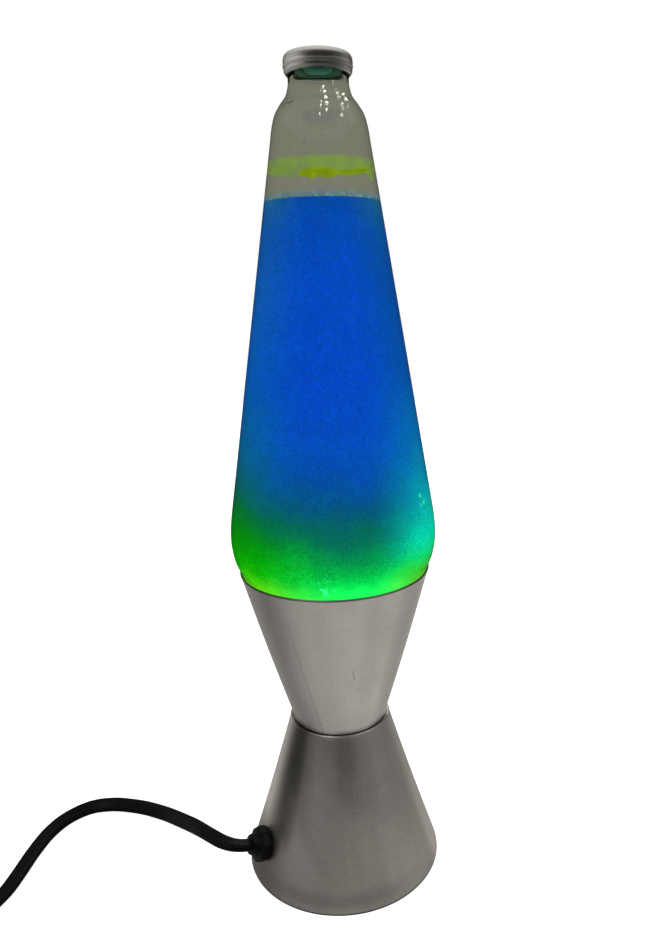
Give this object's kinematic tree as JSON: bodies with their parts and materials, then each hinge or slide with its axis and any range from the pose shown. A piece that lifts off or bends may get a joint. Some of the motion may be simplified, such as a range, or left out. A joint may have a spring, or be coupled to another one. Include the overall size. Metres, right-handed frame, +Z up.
{
  "type": "lava lamp",
  "caption": "Lava lamp: a tapered glass globe of dyed liquid and wax that lifts off a two-cone spun metal base, with a mains lead, in-line switch and plug.",
  "frame": {"origin": "centre of the foot ring's lower face, where the lamp stands", "axes": "+Z up along the axis of the base and globe; the mains lead leaves the lower cone towards -X"},
  "size_m": [0.3509, 0.1039, 0.35],
  "materials": {
    "foot_rubber": "matt",
    "lower_metal": "satin, slightly grainy",
    "cup_metal": "satin, slightly grainy",
    "closure_metal": "satin",
    "base_board": "matt",
    "steel": "plated",
    "brass": "plain",
    "ceramic": "glazed",
    "black_plastic": "satin",
    "switch_black": "satin",
    "rocker_black": "gloss",
    "plug_black": "satin",
    "cord_black": "satin",
    "lead_black": "satin",
    "lead_white": "satin",
    "bulb_glass": "clear",
    "clear_glass": "clear, polished",
    "blue_liquid": "clear, dyed",
    "green_wax": "waxy",
    "green_plastic": "satin"
  },
  "bodies": {
    "root": {"foot_ring": "foot_rubber", "lower_cone": "lower_metal", "base_plate": "base_board", "tie_tube": "steel", "base_washer": "steel", "base_nut": "steel", "lock_nut": "steel", "gland_body": "black_plastic", "gland_nut": "black_plastic", "upper_cup": "cup_metal", "lampholder_body": "ceramic", "lampholder_ring": "ceramic", "clamp_washer": "steel", "screw_shell": "brass", "centre_contact": "brass", "terminal_screw_1": "brass", "terminal_screw_2": "brass", "lead_live": "lead_black", "lead_neutral": "lead_white", "cord_run": "cord_black", "cord_link": "cord_black", "cord_tail": "cord_black", "cord_coil": "cord_black", "coil_tie": "black_plastic", "switch_base": "switch_black", "switch_cover": "switch_black", "switch_pin": "steel", "switch_screw_1": "steel", "switch_screw_2": "steel", "plug_boot": "cord_black", "plug_body": "plug_black", "plug_blade_1": "brass", "plug_blade_2": "brass"},
    "globe": {"glass_globe": "clear_glass", "liquid": "blue_liquid", "wax": "green_wax", "wire_coil": "steel", "stopper": "green_plastic", "closure_cap": "closure_metal"},
    "bulb": {"bulb_glass": "bulb_glass", "bulb_cap": "brass", "bulb_insulator": "black_plastic", "bulb_tip": "brass", "bulb_filament": "steel"},
    "rocker": {"switch_rocker": "rocker_black"}
  },
  "joints": [
    {"name": "globe_lift", "type": "slide", "parent": "root", "child": "globe", "axis": [0, 0, 1], "range_m": [0, 0.15]},
    {"name": "bulb_unscrew", "type": "slide", "parent": "root", "child": "bulb", "axis": [0, 0, 1], "range_m": [0, 0.009]},
    {"name": "rocker_tilt", "type": "hinge", "parent": "root", "child": "rocker", "pos_m": [-0.297, -0.008, 0.0103], "axis": [1, 0, 0], "range_deg": [0, 16]}
  ]
}
